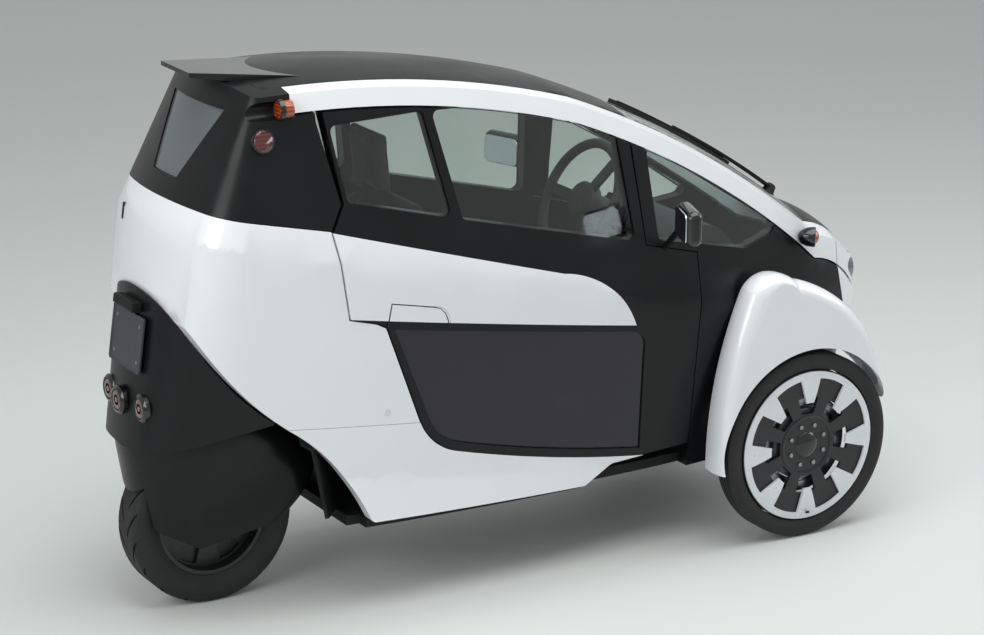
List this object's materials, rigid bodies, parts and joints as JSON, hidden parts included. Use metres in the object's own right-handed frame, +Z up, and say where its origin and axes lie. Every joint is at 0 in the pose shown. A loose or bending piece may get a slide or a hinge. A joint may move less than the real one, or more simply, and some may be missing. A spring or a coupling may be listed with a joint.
{
  "type": "three-wheeled car",
  "caption": "Narrow enclosed tandem-seat microcar with outboard faired front wheels, a steered rear wheel under a swivelling cowl, glazed doors and a black roof.",
  "frame": {"origin": "on the ground, midway along and across the car", "axes": "+X to the front of the car, +Y to its left, +Z up"},
  "size_m": [2.3449, 1.1214, 1.476],
  "materials": {
    "white_paint": "gloss",
    "charcoal_paint": "satin",
    "black_plastic": "matte",
    "clear_glass": "gloss",
    "smoked_glass": "gloss",
    "red_lens": "gloss",
    "amber_lens": "gloss",
    "lamp_lens": "gloss",
    "tyre_rubber": "matte",
    "wheel_black": "satin",
    "wheel_silver": "satin",
    "steel": "satin",
    "cast_alloy": "satin",
    "seat_fabric": "matte",
    "interior_plastic": "matte",
    "plate_blank": "matte"
  },
  "bodies": {
    "root": {"floor_pan": "black_plastic", "battery_block": "steel", "wheel_housing": "black_plastic", "side_sills": "white_paint", "tail_shell": "white_paint", "tail_bumper": "charcoal_paint", "tail_lamps": "red_lens", "number_plate": "plate_blank", "rear_upper_shell": "charcoal_paint", "rear_window": "smoked_glass", "roof_panel": "charcoal_paint", "roof_spoiler": "black_plastic", "roof_rails": "white_paint", "windscreen": "clear_glass", "bonnet": "black_plastic", "nose_shell": "white_paint", "headlamps": "lamp_lens", "front_cowls": "charcoal_paint", "quarter_glasses": "clear_glass", "front_indicators": "amber_lens", "rear_indicators": "amber_lens", "rear_side_lamps": "red_lens", "dashboard": "interior_plastic", "driver_seat": "seat_fabric", "rear_seat": "seat_fabric", "front_suspension": "cast_alloy", "front_knuckles": "cast_alloy", "front_fenders": "white_paint", "wiper_arm": "black_plastic"},
    "door_right": {"door_frame_right": "charcoal_paint", "door_panel_right": "white_paint", "door_side_glass_right": "clear_glass", "door_lower_glass_right": "smoked_glass", "door_mirror_right": "black_plastic"},
    "wheel_front_right": {"front_tyre_right": "tyre_rubber", "front_rim_right": "wheel_black", "wheel_cover_right": "wheel_silver"},
    "door_left": {"door_frame_left": "charcoal_paint", "door_panel_left": "white_paint", "door_side_glass_left": "clear_glass", "door_lower_glass_left": "smoked_glass", "door_mirror_left": "black_plastic"},
    "wheel_front_left": {"front_tyre_left": "tyre_rubber", "front_rim_left": "wheel_black", "wheel_cover_left": "wheel_silver"},
    "rear_steer": {"rear_cowl": "charcoal_paint", "rear_fork": "steel"},
    "wheel_rear": {"rear_tyre": "tyre_rubber", "rear_rim": "wheel_black"},
    "steering_wheel": {"steering_wheel": "interior_plastic"}
  },
  "joints": [
    {"name": "front_wheel_right_spin", "type": "hinge", "parent": "root", "child": "wheel_front_right", "pos_m": [0.7725, -0.387, 0.275], "axis": [0, 1, 0], "continuous": true},
    {"name": "door_right_hinge", "type": "hinge", "parent": "root", "child": "door_right", "pos_m": [0.4435, -0.347, 0.6], "axis": [0, 0, 1], "range_deg": [0, 65]},
    {"name": "front_wheel_left_spin", "type": "hinge", "parent": "root", "child": "wheel_front_left", "pos_m": [0.7725, 0.387, 0.275], "axis": [0, 1, 0], "continuous": true},
    {"name": "door_left_hinge", "type": "hinge", "parent": "root", "child": "door_left", "pos_m": [0.4435, 0.347, 0.6], "axis": [0, 0, -1], "range_deg": [0, 65]},
    {"name": "rear_steering", "type": "hinge", "parent": "root", "child": "rear_steer", "pos_m": [-0.9225, 0, 0.235], "axis": [-0.1564, 0, 0.9877], "range_deg": [-35, 35]},
    {"name": "rear_wheel_spin", "type": "hinge", "parent": "rear_steer", "child": "wheel_rear", "pos_m": [-0.9225, 0, 0.235], "axis": [0, 1, 0], "continuous": true},
    {"name": "steering_wheel_turn", "type": "hinge", "parent": "root", "child": "steering_wheel", "pos_m": [0.2575, 0, 0.969], "axis": [-0.8988, 0, 0.4384], "range_deg": [-211, 211]}
  ],
  "couplings": [
    {"joint": "steering_wheel_turn", "follows": "rear_steering", "ratio": -6}
  ]
}
